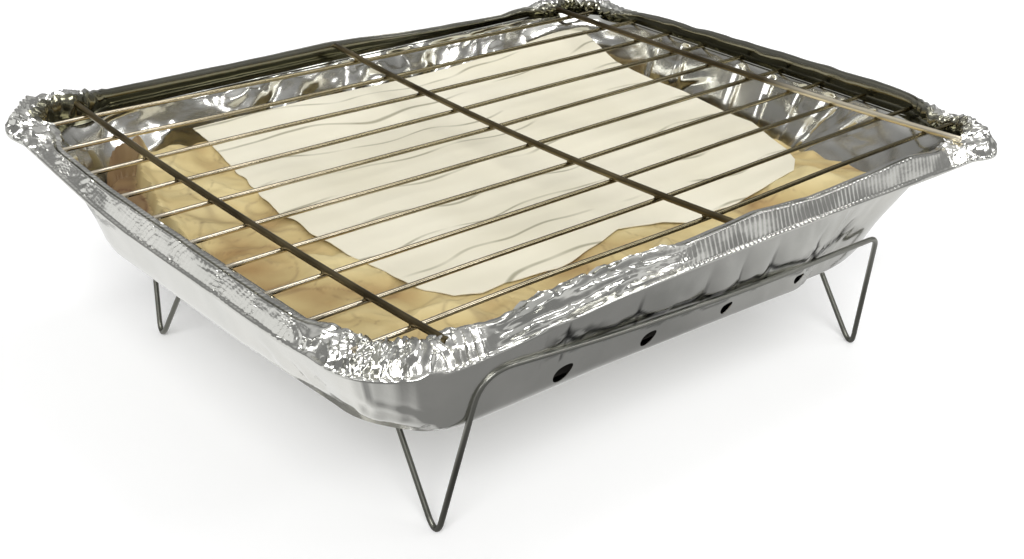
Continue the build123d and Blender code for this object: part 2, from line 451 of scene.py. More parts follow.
def rim_lift(rim, v):
    """How far each fold raises the top of the lip and its hem."""
    run, across = rim.run, v * rim_band_width
    hem = ramp(v, 0.50, 0.66) * ramp(v, 0.98, 0.86)
    return hem * rim.closing() * (
        0.35 * dented(rim) * waves(run / 11, 0 * run, 10)
        + rim.near_corner(rim_corner_reach) * (
            1.2 * crumple(run / 4.5, across / 8, 11) + 0.2 * pleat(run / 4.1)
        )
        + crushed_front(rim) * (1.1 * crumple(run / 6, across / 6, 12) + 0.5)
    )


def rim_shade(rim, v):
    """How much painted shade and darker painted reflection the foil gets: inside the rear and right lips,
    in the lip's groove, on the ledge.
    """
    inner = ramp(v, 0.67, 0.70) * ramp(v, 1.02, 0.98)
    far_side = np.clip(rim.rear + 0.9 * rim.right + rim.on_corner(-1, 1) + rim.on_corner(1, 1), 0, 1)
    groove = ramp(v, 0.63, 0.66) * ramp(v, 0.73, 0.70) * (1 - 0.3 * crushed_front(rim))
    groove = groove * (1 - rim.near_corner(rim_corner_reach))
    ledge = np.maximum(ramp(v, 0.92, 0.96), ramp(v, 0.06, 0.02))
    streak = 0.9 + 0.1 * waves(rim.run / 60, v * rim_band_width / 1.6, 14)
    return np.clip(inner * far_side * streak + 0.9 * groove + 0.5 * ledge, 0, 1)


def foil_rim():
    shades = {}

    def place(u, v):
        rim = Rim(denser_in_front(u))
        inset, level = rim_form(rim, v)
        push = rim_push(rim, v)
        inset = inset - push * band_out
        level = level + push * band_up + rim_lift(rim, v)
        x, y = rim.point(inset, np.maximum(rim_corner - inset, 6))
        spread = corner_spread(rim) * ramp(v, 0.0, 0.12) * ramp(v, 1.0, 0.9)
        # Painted shade and darker painted reflection, stored for the foil's colour
        shades["shade"] = rim_shade(rim, v)
        return x + rim.out_x * spread, y + rim.out_y * spread, level

    piece = lay_grid("foil_rim", columns=1640, rows=58, place=place)
    add_values(piece, shades)
    merge_points(piece, gap=0.01)
    smooth(piece, angle=45)
    return piece


# Foil pan: floor with its pressed panel, drafted walls, both faces of one thin sheet
pan_depth = 41.2
wall_top = 41.0

# Each row of the profile: place along it from the middle of the floor to the ledge, inset from the
# wall's foot, and height above the floor.
pan_profile = (
    (0.00, rim_half_width - wall_foot_inset, panel_raise),
    (0.14, 17.0, panel_raise),
    (0.16, 15.5, 0.0),
    (0.21, 6.0, 0.0),
    (0.25, 2.2, 0.5),
    (0.29, 0.4, 2.2),
    (0.33, -1.2, 5.5),
    (0.97, 8.9 - wall_foot_inset, 40.4),
    (1.00, 8.2 - wall_foot_inset, pan_depth),
)

# The front wall is pressed in over the stand's bar at these notches along X, and bulges between them.
# The foil is creased at these heights above the tray's floor.
bar_notches = (-98, -88, -47, -7, 14, 35, 71, 91, 104)
crease_levels = (22.0, 24.0, 20.2, 17.2, 16.8, 18.0, 16.6, 16.0, 16.0)

# Upright folds in the right wall: place along Y, and half width
right_wall_folds = (
    (-82, 2.2), (-60, 2.2), (-50, 5.0), (-31, 2.2), (-8, 2.5), (16, 5.5), (60, 4.0), (84, 2.5)
)

# The sharp crease down the front left corner, drawn as a line of painted shade, by heading and half width
# in degrees
corner_crease_heading = 208
corner_crease_width = 3.4


def scallops(x):
    """0 at each notch and 1 half way between two of them."""
    place = np.interp(x, bar_notches, range(len(bar_notches)))
    return np.abs(np.sin(math.pi * place))


def crease_level(rim):
    """Height above the tray's floor of the crease over the stand's bar."""
    crease = np.interp(rim.x, bar_notches, crease_levels) + 2.2 * (1 - scallops(rim.x)) ** 3
    return crease + 0.8 * waves(rim.run / 5, 0 * rim.run, 31)


def wall_share(rise):
    """0 at the wall's foot and 1 at its top."""
    return np.clip(rise / wall_top, 0, 1)


def pan_corner(rim, inset, rise):
    """Radius of the pan's corners; the foot of the crushed one is much rounder than the others."""
    wall = wall_share(rise)
    radius = wall_foot_corner + (wall_top_corner - wall_foot_corner) * wall
    radius = radius + crushed_corner_growth * rim.toward_corner(1, -1) * ramp(wall, 1.15, 0.1)
    floor_part = np.maximum(inset - wall_foot_inset, 0)
    return np.minimum(np.maximum(radius - floor_part, 0), rim_half_width - inset)


def wall_folds(rim, rise):
    """Pressed by hand: soft dents low down, and sharper folds near the ledge."""
    run = rim.run
    dents = 0.45 * waves(run / 30, rise / 26, 21) + 0.12 * waves(run / 9, rise / 16, 22)
    rear_left = ramp(rim.left * rim.y + rim.on_corner(-1, 1) * rim_half_width, 55, 105)
    inner_pleats = rear_left * 0.9 * pleat(run / 3.4 + 0.4 * waves(run / 6, rise / 20, 23))
    rear_folds = 2.2 * crumple(run / 21, rise / 15, 24) + 0.4 * crumple(run / 6, rise / 6, 25)
    rear_folds = rim.rear * (1 - rear_left) * rear_folds
    right_folds = rim.right * 0.7 * crumple(run / 24, rise / 18, 26)
    for fold_y, fold_width in right_wall_folds:
        upright_fold = ramp(np.abs(rim.y - fold_y + 0.1 * rise), fold_width, 0) * ramp(rise, 6, 24)
        right_folds += rim.right * 1.5 * upright_fold
    crushed_folds = rim.toward_corner(1, -1) * 0.7 * crumple(run / 15, rise / 16, 29)
    low_left = ramp(rim.left * -rim.y + rim.on_corner(-1, -1) * 90, 30, 75)
    low_dents = low_left * ramp(rise, 15, 4) * 1.5 * crumple(run / 9, rise / 7, 30)
    corner_pleats = rim.on_corner(-1, -1) * pleat(run / 5.5 + 0.3 * waves(run / 9, rise / 30, 33))
    upper_folds = ramp(rise, 12, 26) * (inner_pleats + rear_folds)
    return dents + upper_folds + right_folds + crushed_folds + low_dents + 0.16 * corner_pleats


def bar_bulge(rim, rise):
    """How far the front wall bulges in scallops over the stand's bar."""
    crease = crease_level(rim)
    above_bar = ramp(rise, crease - 0.6, crease + 1.6) * ramp(rise, 36, 20)
    depth = 0.6 + 0.7 * ramp(rim.x, 90, 40)
    ripples = 0.35 * waves(rim.run / 8, rise / 6, 27)
    return rim.front * (1 - rim.near_corner(12)) * above_bar * (depth * scallops(rim.x) + ripples)


def foot_shift(rim, rise):
    """How far the wall's foot is pushed in near the front corners, and out along the front."""
    return (1 - wall_share(rise)) * (
        rim.left * 0.05 * np.clip(-20 - rim.y, 0, 70)
        + rim.right * 0.09 * np.clip(-20 - rim.y, 0, 80)
        - rim.front * 0.025 * np.clip(rim.x + 60, 0, 160) * ramp(rim.x, 110, 70)
    ) * ramp(rise, 0, 1)


def painted_crease_shade(rim, rise):
    """Painted shade: dark lines where the foil is creased over the bar, up from each notch, and down one
    corner.
    """
    x, above = rim.x, rise - crease_level(rim)
    line_width = 1.5 + 0.7 * waves(rim.run / 8, 0 * rim.run, 34)
    line = ramp(np.abs(above), line_width, 0.3)
    upright = ramp(scallops(x), 0.16, 0.02) * ramp(above, 9, 0) * ramp(rise, 14, 16)
    under_bar = 0.5 * ramp(np.abs(above + 5.5), 0.9, 0.2)
    broken = ramp(crumple(rim.run / 6, rise / 2.5, 32), -0.2, 0.3)
    shade_patch = broken * ramp(above, -3, -1) * ramp(above, 5, 2)
    shade_patch = shade_patch * np.maximum(ramp(x, -60, -80), ramp(x, 55, 68))
    over_bar = rim.front * ramp(x, -100, -90) * ramp(x, 112, 104)
    off_crease = np.abs(rim.turn - math.radians(corner_crease_heading))
    corner_crease = ramp(off_crease, math.radians(corner_crease_width), 0) * ramp(rise, 8, 14)
    dark_lines = over_bar * (line + 0.7 * upright + under_bar + 0.8 * shade_patch) + 0.8 * corner_crease
    return np.clip(dark_lines, 0, 1)


def foil_pan():
    crease_shades = {}

    def place(u, v):
        rim = Rim(denser_in_front(u))
        stations, *columns = zip(*pan_profile)
        from_foot, rise = (np.interp(v, stations, column) for column in columns)
        inset = wall_foot_inset + from_foot
        on_wall = ramp(rise, 0.6, 4) * ramp(rise, pan_depth, 38)
        push = on_wall * rim.closing() * (wall_folds(rim, rise) + bar_bulge(rim, rise))
        x, y = rim.point(inset - push + foot_shift(rim, rise), pan_corner(rim, inset, rise))
        spread = corner_spread(rim) * ramp(rise, 36, 41) * 0.5
        floor_waves = 0.25 * waves(x / 30, y / 30, 28) * ramp(from_foot, 4, 10)
        # Painted shade along the creases, stored for the foil's colour
        crease_shades["stain"] = on_wall * painted_crease_shade(rim, rise)
        return x + rim.out_x * spread, y + rim.out_y * spread, tray_floor + rise + floor_waves

    piece = lay_grid("foil_pan", columns=720, rows=64, place=place)
    add_values(piece, crease_shades)
    merge_points(piece, gap=0.02)
    apply_modifier(piece, "SOLIDIFY", thickness=foil_gauge * MM, offset=-1)
    cut_vents(piece)
    smooth(piece, angle=50)
    return piece


def cut_vents(piece):
    """Cuts the row of teardrops through both long walls with one cutter."""
    for side in (-1, 1):
        for x, level, radius in vents:
            bpy.ops.mesh.primitive_cylinder_add(
                vertices=32,
                radius=radius * MM,
                depth=vent_cutter_depth * MM,
                rotation=(math.pi / 2, 0, 0),
                location=(x * MM, side * (rim_half_width - vent_wall_inset) * MM, level * MM),
            )
            name_piece(f"vent_{side}_{x}")
    cutter = join_pieces("vent_", "vent_cutter")
    points = points_of(cutter) / MM
    for x, level, radius in vents:
        side_x, side_z = points[:, 0] - x, points[:, 2] - level
        near = np.abs(side_x) < 2 * radius
        toward_tip = np.clip((vent_tip_right * side_x + vent_tip_up * side_z) / radius, 0, 1) ** 3
        points[:, 0] += near * toward_tip * vent_tip
        points[:, 2] += near * toward_tip * 0.6 * vent_tip
    move_points(cutter, MM * points)
    apply_modifier(piece, "BOOLEAN", operation="DIFFERENCE", object=cutter, solver="EXACT")
    bpy.data.objects.remove(cutter)


# Wires of the cooking grid
wire_end_rounding = 0.25


def rod_place(index):
    """Y of a rod, counted from the front."""
    return -rod_reach + 2 * rod_reach * index / (rod_count - 1)


def grid_rise(x, y):
    """How far the bent grid stands above its flat place."""
    across = y / rod_reach
    middle, lean, bow = (np.interp(x, bar_places, row) for row in (grid_middles, grid_leans, grid_bows))
    return middle + lean * across + bow * across ** 2


def straight_wire(name, radius, half_length, steps, sides):
    """A wire along X: a disc that is pulled out in equal steps, with its cut ends rounded off."""
    bpy.ops.mesh.primitive_circle_add(
        vertices=sides,
        radius=radius * MM,
        fill_type="NGON",
        rotation=(0, math.pi / 2, 0),
        location=(-half_length * MM, 0, 0),
    )
    wire = name_piece(name)
    bpy.ops.object.transform_apply(location=True, rotation=True, scale=True)
    open_mesh(wire)
    step = 2 * half_length * MM / steps
    for _ in range(steps):
        bpy.ops.mesh.extrude_region_move(TRANSFORM_OT_translate={"value": (step, 0, 0)})
    close_mesh()
    apply_modifier(wire, "BEVEL", width=wire_end_rounding * MM, segments=2, limit_method="ANGLE")
    return wire


def copy_piece(source, name):
    copy = source.copy()
    copy.data = source.data.copy()
    copy.name = name
    copy.data.name = name
    bpy.context.scene.collection.objects.link(copy)
    return copy


def grid_rods():
    pattern = straight_wire("rod_pattern", rod_radius, rod_half_length, steps=40, sides=12)
    rods = []
    for index in range(rod_count):
        rod = copy_piece(pattern, f"rod_{index + 1:02d}")
        y = rod_place(index)
        points = points_of(rod) / MM
        x = points[:, 0].copy()
        points[:, 1] += y + 0.5 * waves(x / 90, 0 * x, 40 + index)
        points[:, 2] += rod_level + grid_rise(x, y) + 0.3 * waves(x / 70, 0 * x, 60 + index)
        move_points(rod, MM * points)
        smooth(rod)
        rods.append(rod)
    bpy.data.objects.remove(pattern)
    return rods


def grid_crossbars():
    pattern = straight_wire("bar_pattern", bar_radius, bar_half_length, steps=30, sides=16)
    bars = []
    for place, name in ((-1, "left"), (0, "middle"), (1, "right")):
        bar = copy_piece(pattern, f"crossbar_{name}")
        points = points_of(bar) / MM
        y = points[:, 0].copy()
        points[:, 0] = place * bar_reach - points[:, 1]
        points[:, 1] = y
        points[:, 2] += bar_level + grid_rise(place * bar_reach, y)
        move_points(bar, MM * points)
        smooth(bar)
        bars.append(bar)
    bpy.data.objects.remove(pattern)
    return bars


def weld_spots():
    """The squeezed dark spots where a crossbar is welded to each rod."""
    size = (1.05 * bar_radius, 1.35 * rod_radius, 1.1)
    for place in (-1, 0, 1):
        for index in range(rod_count):
            x, y = place * bar_reach, rod_place(index)
            z = rod_level + rod_radius + grid_rise(x, y)
            bpy.ops.mesh.primitive_uv_sphere_add(
                segments=12,
                ring_count=8,
                radius=MM,
                location=(x * MM, y * MM, z * MM),
                scale=size,
            )
            name_piece(f"weld_{place}_{index}")
    spots = join_pieces("weld_", "weld_spots")
    bpy.ops.object.shade_smooth()
    return spots


# Wire stand: the corners of one closed loop, X, Y, Z and the length that each bend takes from its arms.
# The feet's corners lie under the ground, where their two arms would meet.
stand_corners = (
    (-107.5, -62.0, 44.6, 6.0),
    (-107.2, -90.5, -3.0, 9.0),
    (-106.0, -111.0, 70.0, 13.0),
    (-50.0, -110.6, 64.2, 20.0),
    (20.0, -110.6, 60.4, 20.0),
    (91.5, -110.8, 59.8, 5.0),
    (110.0, -93.8, -3.0, 9.0),
    (108.5, -62.0, 44.6, 6.0),
    (108.5, 58.0, 44.6, 6.0),
    (110.5, 87.5, -3.0, 9.0),
    (100.0, 110.8, 62.0, 6.0),
    (-100.0, 110.8, 62.0, 6.0),
    (-111.0, 87.5, -3.0, 9.0),
    (-109.5, 58.0, 44.6, 6.0),
)
stand_wire_radius = 1.05


def rounded_loop(corners, steps):
    """Points along a closed line through the corners, with each corner rounded off."""
    table = np.array(corners)
    places, bends = table[:, :3], table[:, 3:]
    arriving = places - np.roll(places, 1, axis=0)
    arriving /= np.linalg.norm(arriving, axis=1, keepdims=True)
    leaving = np.roll(arriving, -1, axis=0)
    starts, ends = places - arriving * bends, places + leaving * bends
    share = np.linspace(0, 1, steps)[:, None, None]
    rounded = (1 - share) ** 2 * starts + 2 * share * (1 - share) * places + share ** 2 * ends
    return rounded.transpose(1, 0, 2).reshape(-1, 3)


def wire_stand():
    bend_steps, sides = 10, 12
    line = rounded_loop(stand_corners, bend_steps)
    ahead = np.roll(line, -1, axis=0) - np.roll(line, 1, axis=0)
    ahead /= np.linalg.norm(ahead, axis=1, keepdims=True)
    # No stretch of the wire runs along this diagonal
    diagonal = (0.7, 0.7, 0.0)
    side = np.cross(ahead, diagonal)
    side /= np.linalg.norm(side, axis=1, keepdims=True)
    above = np.cross(ahead, side)
    ring_radius = 4 * stand_wire_radius
    bpy.ops.mesh.primitive_torus_add(
        major_segments=len(line),
        minor_segments=sides,
        major_radius=ring_radius,
        minor_radius=stand_wire_radius,
    )
    piece = name_piece("stand_loop")
    ring = points_of(piece).reshape(len(line), sides, 3)
    outward = np.hypot(ring[:, :, 0], ring[:, :, 1]) - ring_radius
    upward = ring[:, :, 2]
    points = line[:, None] + outward[..., None] * side[:, None] + upward[..., None] * above[:, None]
    move_points(piece, MM * points.reshape(-1, 3))
    open_mesh(piece)
    close_mesh()
    smooth(piece)
    return piece


# Charcoal pack and ignition sheet
pack_half_length = pack_high.x - 2.5
pack_half_width = pack_high.y - 1.5
rear_corner, front_right_corner, front_left_corner = 20.0, 46.0, 34.0
pack_shoulder = 10
pack_bottom_gap = 0.8
left_step = 14
flap_rise = 5
pack_rise = 16
lump_rise = 14.4
pack_wrinkle = 19
sheet_gauge = 0.3
sheet_gap = 1.3

# The ignition sheet's edges: X of its left and right edge by share of its width, Y of its front edge
# by share of its length
sheet_left = ((0.0, -78), (0.05, -83), (0.2, -86), (0.4, -90), (0.6, -87), (0.75, -84), (1.0, -80))
sheet_right = ((0.0, 97), (0.05, 108), (0.12, 117), (0.3, 129), (0.55, 131), (0.8, 128), (1.0, 134))
sheet_front = (
    (0.0, -62), (0.05, -65), (0.12, -63), (0.25, -65), (0.4, -61),
    (0.47, -57), (0.58, -61), (0.63, -67), (0.8, -66), (1.0, -64),
)
sheet_frontmost = -68.0
sheet_rear = 105.0


def edge_place(edge, share):
    """X or Y of one of the sheet's edges at a share of the way along it."""
    return np.interp(share, *zip(*edge))


def sheet_cover(x, y):
    """1 under the ignition sheet, falling to 0 outside it."""
    width_share = (y - sheet_frontmost) / (sheet_rear - sheet_frontmost)
    left, right = edge_place(sheet_left, width_share), edge_place(sheet_right, width_share)
    return ramp(x, left - 4, left + 6) * ramp(x, right + 4, right - 6) * ramp(y, -72, -60)


def pack_depth_share(y):
    """0 at the pack's front and 1 at its rear."""
    return (y - pack_low.y) / (pack_high.y - pack_low.y)


def pack_top(x, y):
    """Height of the paper pack's top: it rises to the rear and to the right corners, over lumps."""
    slope = pack_low.z + pack_rise + 8 * pack_depth_share(y) + 4 * ramp(y, 70, 108)
    lumps = 1.3 * waves(x / 24, y / 24, 80)
    return slope + lumps + ramp(x, 50, 125) * (4 * ramp(y, 40, 100) + 8 * ramp(y, -30, -90))


def pack_plan(s, t):
    """X and Y of the pack, from shares that run from -1 to 1, with its corners rounded."""
    x, y = s * pack_half_length, t * pack_half_width
    corner = np.where(y > 0, rear_corner, np.where(x > 0, front_right_corner, front_left_corner))
    over_x = np.maximum(np.abs(x) - (pack_half_length - corner), 0) / corner
    over_y = np.maximum(np.abs(y) - (pack_half_width - corner), 0) / corner
    reach = np.maximum(np.sqrt(over_x ** 2 + over_y ** 2), 1e-6)
    pull = np.maximum(over_x, over_y) / reach
    x = np.where(over_x > 0, np.sign(x) * (pack_half_length - corner + over_x * pull * corner), x)
    y = np.where(over_y > 0, np.sign(y) * (pack_half_width - corner + over_y * pull * corner), y)
    return x, y


def kraft_pack():
    tones = {}

    def place(u, v):
        s, t = 2 * u - 1, 2 * v - 1
        x, y = pack_plan(s, t)
        edge = np.minimum(pack_half_length * (1 - np.abs(s)), pack_half_width * (1 - np.abs(t)))
        shoulder = np.sqrt(np.clip(1 - (1 - np.clip(edge / pack_shoulder, 0, 1)) ** 2, 0, 1))

        # Its left edge is folded up, and runs slanting to the rear
        fold_line = np.interp(y, (20, 56, 70, 91, 106), (-133, -125, -121, -113, -106))
        beyond = fold_line - x + 1.2 * waves(y / 9, 0 * y, 84)
        stepped_down = ramp(beyond, -1.5, 3)
        ridge = 2.2 * ramp(beyond, -6, -2) * ramp(beyond, 3, -1) * ramp(y, 0, 40)
        upright_flap = ramp(x, -104, -109) * ramp(y, 92, 96)
        stepped_down = stepped_down * (1 - upright_flap)

        bare = 1 - 0.85 * sheet_cover(x, y)
        creased = crumple(x / pack_wrinkle, y / pack_wrinkle, 82)
        folds = bare * (2.6 * creased + 0.8 * crumple(x / 7, y / 7, 83)) * ramp(edge, 0, 8)
        top = pack_top(x, y) + folds + ridge - left_step * stepped_down + flap_rise * upright_flap
        top = np.maximum(top, pack_low.z + lump_rise + 7 * pack_depth_share(y))
        bottom = pack_low.z + pack_bottom_gap
        # Painted shade in the folds' hollows, plus a random tone for each facet
        tones["tone"] = 0.7 * creased + 0.5 * facets(x / 12 + y / 30, y / 12, 85)
        folded_end = np.maximum(stepped_down, ramp(x, -106, -110) * ramp(y, 90, 92) * ramp(y, 99, 96))
        wide_lines = ramp(np.abs(waves(x / pack_wrinkle, y / pack_wrinkle, 86)), 0.07, 0)
        lines = wide_lines + ramp(np.abs(waves(x / 13, y / 13, 87)), 0.05, 0)
        # Painted shade on the folded left end and along crease lines
        tones["shade"] = np.clip(0.8 * folded_end * (0.8 + 0.3 * creased) + 0.3 * lines, 0, 1)
        # Painted shade on the pack's sides, which show through the vents
        tones["soot"] = ramp(edge, 4, 1)
        foot = 4.5 * (1 - shoulder)
        flare = ramp(x, 70, 120) * ramp(np.abs(y), 50, 95) * ramp(shoulder, 0.7, 1)
        reach_x, reach_y = 6 * flare - foot, 5 * flare - foot
        return x + np.sign(x) * reach_x, y + np.sign(y) * reach_y, bottom + (top - bottom) * shoulder

    piece = lay_grid("kraft_pack", columns=260, rows=210, place=place)
    add_values(piece, tones)
    open_mesh(piece)
    bpy.ops.mesh.region_to_loop()
    bpy.ops.mesh.edge_face_add()
    close_mesh()
    smooth(piece, angle=30)
    return piece


def waxed_sheet():
    def place(u, v):
        left, right = edge_place(sheet_left, v), edge_place(sheet_right, v)
        front = edge_place(sheet_front, u)
        ragged_left = 1.6 * waves(11 * v, 0 * v, 90) + 0.7 * waves(29 * v, 0 * v, 94)
        ragged_front = waves(14 * u, 0 * u, 91)
        x = left + (right - left) * u + ragged_left * (1 - u)
        y = front + (sheet_rear - front) * v + ragged_front * (1 - v)
        creases = 0.6 * facets(x / 46 + 0.3 * y / 46, y / 34, 92) + 0.3 * waves(x / 18, y / 14, 93)
        return x, y, pack_top(x, y) + sheet_gap + creases

    piece = lay_grid("waxed_sheet", columns=170, rows=140, place=place)
    apply_modifier(piece, "SOLIDIFY", thickness=sheet_gauge * MM, offset=0)
    smooth(piece)
    return piece


# Materials. Their places and distances are in metres.

def colour(hex_code):
    """An sRGB hex colour as linear red, green, blue and alpha."""
    parts = [int(hex_code[i:i + 2], 16) / 255 for i in (1, 3, 5)]
    return [p / 12.92 if p <= 0.04045 else ((p + 0.055) / 1.055) ** 2.4 for p in parts] + [1.0]


def new_material(name):
    """A new material, and the node of its surface."""
    material = bpy.data.materials.new(name)
    material.use_nodes = True
    return material, material.node_tree.nodes["Principled BSDF"]


def feed(material, made, key, value):
    """Gives a node's input its value, or a link where the value is a socket."""
    if isinstance(value, bpy.types.NodeSocket):
        material.node_tree.links.new(value, made.inputs[key])
    else:
        made.inputs[key].default_value = value


def node(material, kind, settings=None):
    """Adds a node. Settings are its properties by name, and its inputs by name or number."""
    made = material.node_tree.nodes.new(kind)
    for key, value in (settings or {}).items():
        if isinstance(key, int) or key in made.inputs:
            feed(material, made, key, value)
        else:
            setattr(made, key, value)
    return made


def colour_ramp(material, source, *stops):
    """The colour at a source value, from (position, hex code) stops."""
    made = node(material, "ShaderNodeValToRGB", {"Fac": source})
    stripes = made.color_ramp.elements
    while len(stripes) < len(stops):
        stripes.new(0.5)
    for stripe, (position, hex_code) in zip(stripes, stops):
        stripe.position = position
        stripe.color = colour(hex_code)
    return made.outputs["Color"]


def stored_value(material, name):
    """A number that is stored on the mesh."""
    return node(material, "ShaderNodeAttribute", {"attribute_name": name}).outputs["Fac"]


def mixed_colour(material, share, first, second):
    """The first colour where the share is 0 and the second, a hex code, where it is 1."""
    # Inputs 6 and 7 and output 2 of this node are its colours
    settings = {"data_type": "RGBA", 0: share, 6: first, 7: colour(second)}
    return node(material, "ShaderNodeMix", settings).outputs[2]


def object_place(material):
    """The place on the object, in metres."""
    return node(material, "ShaderNodeTexCoord").outputs["Object"]


def along(material, axis):
    """The place along one axis, in metres."""
    return node(material, "ShaderNodeSeparateXYZ", {"Vector": object_place(material)}).outputs[axis]


def noise(material, scale, detail):
    """Soft random spots, about as many per metre as the scale says."""
    settings = {"Vector": object_place(material), "Scale": scale, "Detail": detail}
    return node(material, "ShaderNodeTexNoise", settings).outputs["Fac"]


def rescale(material, source, low, high, at_low=0.0, at_high=1.0):
    """At_low where the source is low, at_high where it is high, and evenly between them."""
    settings = {"Value": source, "From Min": low, "From Max": high, "To Min": at_low, "To Max": at_high}
    return node(material, "ShaderNodeMapRange", settings).outputs["Result"]


def combine(material, operation, first, second):
    """A sum, product or the like of two values."""
    settings = {"operation": operation, 0: first, 1: second}
    return node(material, "ShaderNodeMath", settings).outputs["Value"]


def finish_surface(material, surface, tint, roughness, metallic=0.0):
    feed(material, surface, "Base Color", tint)
    feed(material, surface, "Roughness", roughness)
    feed(material, surface, "Metallic", metallic)
    return material


def roughen(material, surface, height, strength, distance):
    """Fine relief that is too small for the mesh."""
    bump = node(material, "ShaderNodeBump", {"Height": height, "Strength": strength, "Distance": distance})
    feed(material, surface, "Normal", bump.outputs["Normal"])


def aluminium_foil():
    """Bare rolled aluminium: a satin mirror with faint rolling marks and handling haze, darkened by the
    painted shade and painted reflection that the mesh stores, and near black along painted crease shadows.
    """
    material, surface = new_material("rolled aluminium foil")
    haze = noise(material, 35.0, 4.0)
    bare = colour_ramp(material, haze, (0.3, "#d2d2cc"), (0.7, "#e4e3dd"))
    # Painted shade and darker painted reflection on the rim's far lips, groove and ledge
    painted_shade_and_reflection = mixed_colour(material, stored_value(material, "shade"), bare, "#6f6d5a")
    # Painted shade, near black, along the creases over the stand's bar and down one corner
    tint = mixed_colour(material, stored_value(material, "stain"), painted_shade_and_reflection, "#191814")
    roughen(material, surface, noise(material, 700.0, 3.0), strength=0.1, distance=0.0003)
    gloss = rescale(material, haze, 0.3, 0.7, 0.13, 0.26)
    return finish_surface(material, surface, tint, gloss, metallic=1.0)


def steel_wire(name, pale, dark, painted_front_highlight=None):
    """Drawn steel wire, stained by welding and handling, with a painted highlight in front where that is
    given.
    """
    material, surface = new_material(name)
    stain = noise(material, 45.0, 5.0)
    tint = colour_ramp(material, stain, (0.35, dark), (0.65, pale))
    if painted_front_highlight:
        # Painted highlight on the wire's front part
        in_front = rescale(material, along(material, "Y"), -0.02, -0.045)
        tint = mixed_colour(material, in_front, tint, painted_front_highlight)
    roughen(material, surface, stain, strength=0.15, distance=0.0002)
    return finish_surface(material, surface, tint, 0.3, metallic=1.0)


def rod_wire():
    """Rods with painted light: pale at their left end, turning brown from the middle of the grid to its
    right end, with random dark stains.
    """
    material, surface = new_material("zinc plated rod")
    # Painted light: pale at the left end, brown towards the right
    to_right = rescale(material, along(material, "X"), -0.148, 0.03)
    stops = ((0.0, "#e3d9c4"), (0.25, "#bdb29a"), (0.5, "#8b8269"), (1.0, "#6f674f"))
    painted_light = colour_ramp(material, to_right, *stops)
    stained = rescale(material, noise(material, 60.0, 4.0), 0.45, 0.7, 0.0, 0.45)
    tint = mixed_colour(material, stained, painted_light, "#564e3a")
    return finish_surface(material, surface, tint, 0.2, metallic=1.0)


def stand_wire():
    """Galvanised wire with painted shade: pale where it carries the tray, darker down the legs."""
    material, surface = new_material("galvanised stand wire")
    # Painted shade: darker towards the feet
    height = rescale(material, along(material, "Z"), 0.03, 0.058)
    tint = colour_ramp(material, height, (0.0, "#66665f"), (1.0, "#96968f"))
    return finish_surface(material, surface, tint, 0.35, metallic=1.0)


def kraft_paper():
    """Unbleached kraft paper: warm tan, each facet a little paler or darker, with painted shade in the
    folds' hollows and fibres; painted shade browns its folded left end and crease lines and makes its
    sides near black.
    """
    material, surface = new_material("kraft paper")
    tone = rescale(material, stored_value(material, "tone"), -1.0, 1.0)
    blend = combine(material, "ADD", tone, noise(material, 30.0, 6.0))
    half = combine(material, "MULTIPLY", blend, 0.5)
    paper = colour_ramp(material, half, (0.25, "#9c7f50"), (0.5, "#bda976"), (0.75, "#d2c291"))
    # Painted shade: brown on the folded end and along crease lines
    painted_shade = mixed_colour(material, stored_value(material, "shade"), paper, "#5a3a25")
    # Painted shade: near black on the pack's sides
    shaded = mixed_colour(material, stored_value(material, "soot"), painted_shade, "#15100b")
    roughen(material, surface, noise(material, 900.0, 2.0), strength=0.25, distance=0.0002)
    return finish_surface(material, surface, shaded, 0.7)


def waxed_paper():
    """Waxed ignition paper: cream and faintly cloudy, with thin grey lines across it that are painted
    shadows of the grid's rods.
    """
    material, surface = new_material("waxed paper")
    cream = colour_ramp(material, noise(material, 16.0, 4.0), (0.3, "#d9d3bd"), (0.7, "#e3decb"))
    # Painted shadows of the grid's rods: thin grey lines along X, wandering a little
    wander = combine(material, "MULTIPLY", noise(material, 11.0, 2.0), 0.045)
    bent = combine(material, "ADD", along(material, "Y"), wander)
    from_rod_shadow = combine(material, "PINGPONG", bent, 0.0105)
    line = rescale(material, from_rod_shadow, 0.0003, 0.0010, 1.0, 0.0)
    seen = rescale(material, noise(material, 26.0, 2.0), 0.4, 0.55, 0.0, 0.8)
    tint = mixed_colour(material, combine(material, "MULTIPLY", line, seen), cream, "#8f8a72")
    return finish_surface(material, surface, tint, 0.55)


def charcoal():
    """Lump charcoal: near black, with grey ash on its broken grain."""
    material, surface = new_material("lump charcoal")
    grain = noise(material, 160.0, 6.0)
    roughen(material, surface, grain, strength=0.6, distance=0.0006)
    tint = colour_ramp(material, grain, (0.35, "#161514"), (0.75, "#3b3936"))
    return finish_surface(material, surface, tint, 0.85)


